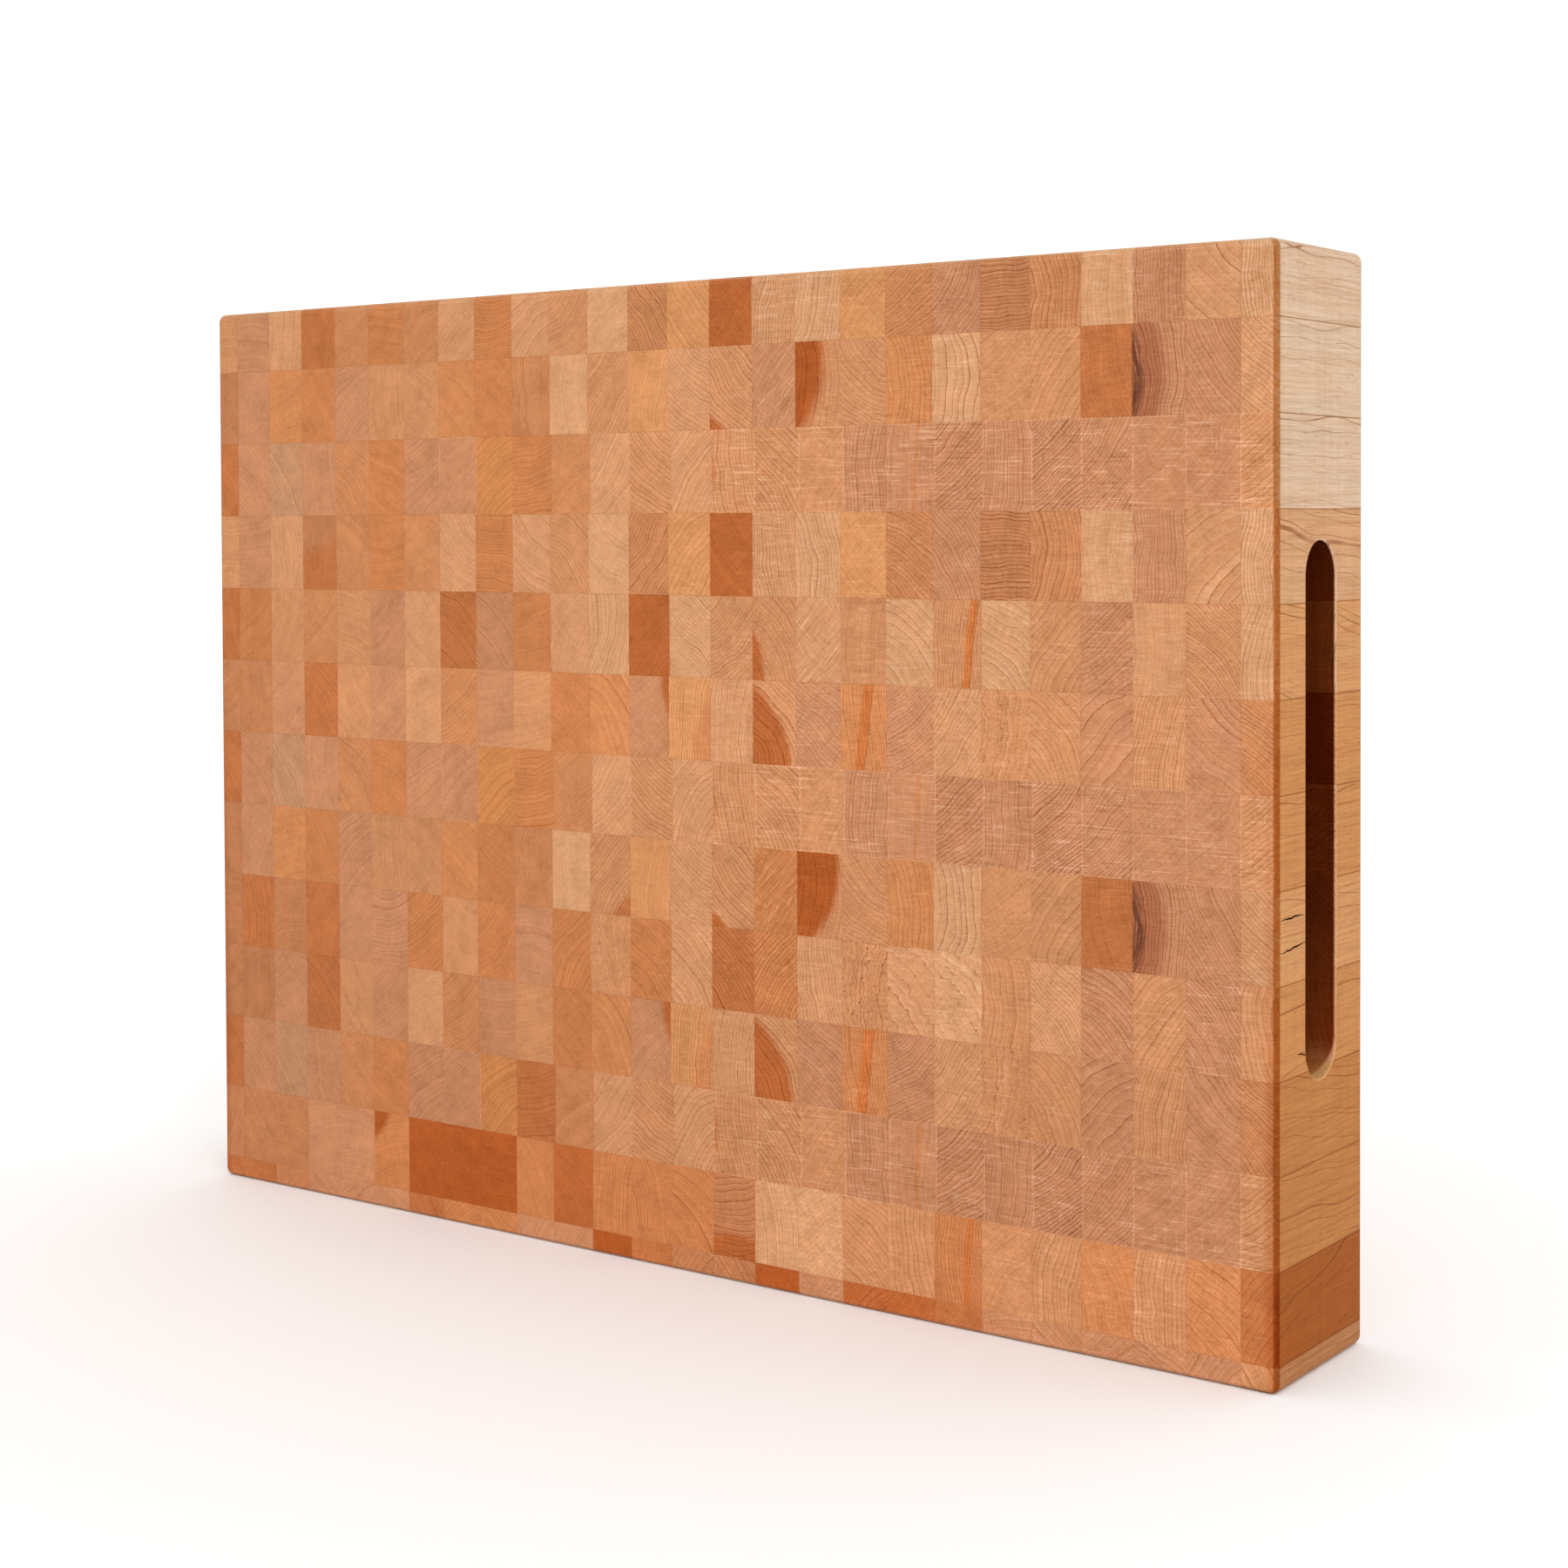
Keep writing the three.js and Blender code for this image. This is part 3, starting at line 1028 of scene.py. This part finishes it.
    # Colour.
    wood = shader.colour_mix(zone, shader.block_value("tone"), shader.block_value("zone_tone"))
    wood = shader.colour_mix(end_grain, shader.block_value("long_tone"), wood)
    soft_grain = mottle * 0.50 + cloud * 0.34 + bands * 0.34
    hard_grain = (rays - 0.5) * 0.28 + (fibres - 0.5) * 0.50
    calm = end_grain * 0.75 + 0.25
    wood = shader.shaded(wood, soft_grain * calm + hard_grain * roughness)
    wood = shader.tinted(wood, mottle * 3.0 + 0.4, BLUSH_TINT)
    wood = shader.tinted(wood, early, EARLY_TINT)
    wood = shader.tinted(wood, late * 0.12, RING_TINT)
    wood = shader.tinted(wood, line, RING_TINT)
    wood = shader.tinted(wood, pores * roughness * 0.5, PORE_TINT)
    wood = shader.tinted(wood, vein, VEIN_TINT)
    wood = shader.tinted(wood, scratch * 0.8 + upright * 0.45, SCRATCH_TINT)
    wood = shader.tinted(wood, score * 0.6, SCORE_TINT)

    # Long grain: growth rings as thin wavy lines, saw marks across it, dark fibres and flecks.
    swell = shader.noise(shader.join(x * 0.05, depth * 0.020 + seed_y, up * 0.05), 1.0, 1.0) - 0.5
    across_fibres = (z - middle_z) * outward * outward + right * upward * upward
    sheet = across_fibres + swell * 10.0 + depth * shader.block_value("fibre_fall")
    crowding = shader.noise(shader.join(sheet * 0.16, seed_x, seed_z), 1.0, 1.0) - 0.5
    sheets = sheet / SHEET_SPACING + crowding * 2.5
    sheet_luck = shader.node(
        "ShaderNodeTexWhiteNoise", "Value", {"noise_dimensions": "1D"}, W=sheets.math("FLOOR"),
    )
    from_sheet = (sheets.math("FRACT") - 0.5).math("ABSOLUTE") * SHEET_SPACING
    faded = shader.noise(shader.join(x * 0.1, depth * 0.05, up * 0.1 + seed_x), 1.0, 2.0)
    sheet_line = (1 - from_sheet.step(0.10, 0.40)) * sheet_luck * (faded * 1.4 + 0.2)
    chatter = shader.noise(shader.join(x * 0.3, y * 0.3, z * 0.01), 1.0, 2.0) - 0.5
    dark_fibres = shader.noise(shader.join(x * 0.05, y * 0.03, z * 0.9 + seed_x), 1.0, 3.0, 0.65)
    flecks = shader.noise(shader.join(x * 0.3, y * 0.22, z * 2.0 + seed_x), 1.0, 1.0)
    wood = shader.shaded(wood, (chatter * 0.20 + (dark_fibres - 0.5) * 0.30) * long_grain)
    wood = shader.tinted(wood, flecks.step(0.64, 0.76) * long_grain * 0.4, SHEET_TINT)
    wood = shader.tinted(wood, sheet_line * long_grain * 0.9, SHEET_TINT)

    # Glue lines, the painted shade and painted highlight on the round edges, the darker strip
    # near the ends, and the painted shade and highlight in the slot and the checks.
    half_x, half_z, glue_shade = shader.split(shader.block_value("half_size"))
    from_side = half_x - right.math("ABSOLUTE")
    from_top = half_z - up.math("ABSOLUTE")
    glue = (1 - from_side.math("MINIMUM", from_top).step(0.1, 0.45)) * end_grain
    wood = shader.shaded(wood, glue * glue_shade * (cloud * 2 + 1.0))
    from_long_joint = from_top * outward * outward + from_side * upward * upward
    joint = (1 - from_long_joint.step(0.12, 0.38)) * long_grain * (1 - facing.step(0.02, 0.1))
    wood = shader.tinted(wood, joint, JOINT_TINT)
    routed = shader.block_value("routed")
    unrouted = 1 - routed.step(0.1, 0.2)
    bent = outward * outward * 4.0 + upward * upward
    from_end = HALF_LENGTH - x.math("ABSOLUTE")
    rim = along_fibre.math("ABSOLUTE") * bent
    # Painted shade on the rounded edges, mixed with oil-darkened end grain.
    edge = rim.step(0.15, 0.95) * unrouted * (cloud * 0.8 + 0.95)
    # A painted highlight where the faces begin to round over.
    painted_rim_highlight = bent.step(0.004, 0.03) * (1 - bent.step(0.05, 0.16)) * facing.step(0.8, 0.9)
    wood = shader.tinted(wood, painted_rim_highlight * unrouted * 0.8, RIM_HIGHLIGHT_TINT)
    # Darker end grain near the ends, growing towards the bottom.
    end_strip = (1 - from_end.step(2.0, 7.0)) * (1 - z.step(END_STRIP_LOW, END_STRIP_HIGH)) * end_grain
    wood = shader.tinted(wood, end_strip, END_STRIP_TINT)
    wood = shader.tinted(wood, edge, EDGE_OIL_AND_SHADE_TINT)
    streak = shader.noise(shader.join(x * 0.5, y * 0.3, z * 0.02), 1.0, 2.0)
    fading = 1 - z.step(SLOT_LOW, SLOT_LOW + SLOT_SHADE_FADE)
    checked = routed.step(1.2, 1.8)
    slot_wall = (1 - unrouted) * (1 - checked)
    upper_side = upward.math("MAXIMUM", 0.0)
    lip_depth = upper_side * upper_side * 6.0 + 1.5
    inside_lip = from_end.step(lip_depth * 0.5, lip_depth)
    in_slot = inside_lip * slot_wall
    lit_and_worn_lip = (1 - inside_lip) * from_end.step(0.0, 0.2) * slot_wall
    # Painted shade deep in the slot. It is weaker on upward faces and near the lower end, where
    # painted light falls.
    deep_slot_shade = routed * (1 - fading * 0.6) * (1 - upper_side) * (streak * 0.3 + 0.85)
    # Painted shade on the slot's walls, lighter on upward-facing parts as if lit from above.
    wood = shader.tinted(wood, in_slot * (1 - upper_side * upper_side), SLOT_WALL_SHADE_TINT)
    wood = shader.tinted(wood, in_slot * deep_slot_shade, DEEP_SLOT_SHADE_TINT)
    # Painted highlight on the lip's upper side, over paler worn wood.
    wood = shader.tinted(wood, lit_and_worn_lip * (upper_side * 0.6 + 0.4), LIP_HIGHLIGHT_AND_WEAR_TINT)
    # Painted shade inside the drying checks.
    wood = shader.tinted(wood, checked, CHECK_SHADE_TINT)
    plug(shader.tree, shader.surface.inputs["Base Color"], wood)

    # Finish: the oil is smoother on the rings' dark lines, and duller in pores and scratches.
    shine = (fibres - 0.5) * 0.20 + scratch * 0.10 + pores * 0.12 - line * 0.06 + 0.46
    plug(shader.tree, shader.surface.inputs["Roughness"], shine + cloud * 0.10)
    relief = fibres * 0.6 + rays * 0.25 - pores * 0.5 - line * 0.45 - scratch * 0.7 - score * 0.9
    bump = shader.node(
        "ShaderNodeBump", "Normal",
        Height=relief, Distance=RELIEF_HEIGHT * MM, Strength=1.0,
    )
    plug(shader.tree, shader.surface.inputs["Normal"], bump)
    shader.surface.inputs["Specular IOR Level"].default_value = OIL_GLOSS
    return shader.material


# ---------------------------------------------------------------------------
# Studio
# ---------------------------------------------------------------------------

# The camera's place in metres and its angles come from a perspective fit to the board's seven
# visible corners. The lens was then lengthened a little.
CAMERA_PLACE = Vector((0.7438, -0.9733, 0.3456))
CAMERA_AZIMUTH = math.radians(36.04)
CAMERA_ELEVATION = math.radians(1.38)
CAMERA_ROLL = math.radians(-0.24)
LENS = 59.30
SHIFT_Y = -0.1263

# A white room, one lamp from the front right, and a pale floor. Places and sizes in metres.
ROOM_COLOUR = (1, 1, 1, 1)
ROOM_STRENGTH = 1.1
KEY_PLACE = (2.2, -1.6, 1.9)
KEY_SIZE = 1.2
KEY_WATTS = 14
FLOOR_SIZE = 6
FLOOR_COLOUR = (0.94, 0.94, 0.94, 1)
FLOOR_ROUGHNESS = 0.9


def add_camera():
    data = bpy.data.cameras.new("camera")
    data.lens = LENS
    data.shift_y = SHIFT_Y
    camera = bpy.data.objects.new("camera", data)
    bpy.context.scene.collection.objects.link(camera)
    level = math.cos(CAMERA_ELEVATION)
    back = Vector((
        math.sin(CAMERA_AZIMUTH) * level,
        -math.cos(CAMERA_AZIMUTH) * level,
        math.sin(CAMERA_ELEVATION),
    ))
    right = Vector((0, 0, 1)).cross(back).normalized()
    up = back.cross(right)
    turn = Matrix.Rotation(CAMERA_ROLL, 3, back)
    axes = Matrix((turn @ right, turn @ up, back)).transposed()
    camera.matrix_world = Matrix.Translation(CAMERA_PLACE) @ axes.to_4x4()
    bpy.context.scene.camera = camera


def add_area_light(name, place, target, size, watts):
    data = bpy.data.lights.new(name, "AREA")
    data.shape = "SQUARE"
    data.size = size
    data.energy = watts
    lamp = bpy.data.objects.new(name, data)
    lamp.location = place
    lamp.rotation_mode = "QUATERNION"
    way = Vector(target) - Vector(place)
    lamp.rotation_quaternion = way.to_track_quat("-Z", "Y")
    bpy.context.scene.collection.objects.link(lamp)


def add_studio():
    world = bpy.data.worlds.new("studio")
    world.use_nodes = True
    room = world.node_tree.nodes["Background"]
    room.inputs["Color"].default_value = ROOM_COLOUR
    room.inputs["Strength"].default_value = ROOM_STRENGTH
    bpy.context.scene.world = world
    middle = (0, 0, HEIGHT * MM / 2)
    add_area_light("key", KEY_PLACE, middle, KEY_SIZE, KEY_WATTS)
    bpy.context.scene.view_settings.view_transform = "Standard"

    floor_mesh = bmesh.new()
    bmesh.ops.create_grid(floor_mesh, x_segments=1, y_segments=1, size=FLOOR_SIZE)
    mesh = bpy.data.meshes.new("floor")
    floor_mesh.to_mesh(mesh)
    floor_mesh.free()
    shader = Shader("pale_floor")
    shader.surface.inputs["Base Color"].default_value = FLOOR_COLOUR
    shader.surface.inputs["Roughness"].default_value = FLOOR_ROUGHNESS
    mesh.materials.append(shader.material)
    floor = bpy.data.objects.new("floor", mesh)
    bpy.context.scene.collection.objects.link(floor)


def build_board():
    cutters = {"left": slot_cutter(-1), "right": slot_cutter(1), "checks": check_cutter()}
    material = oiled_maple()
    for row in range(ROW_COUNT):
        make_row(row, cutters, material)
    for cutter in cutters.values():
        bpy.data.objects.remove(cutter)


add_camera()
add_studio()
build_board()
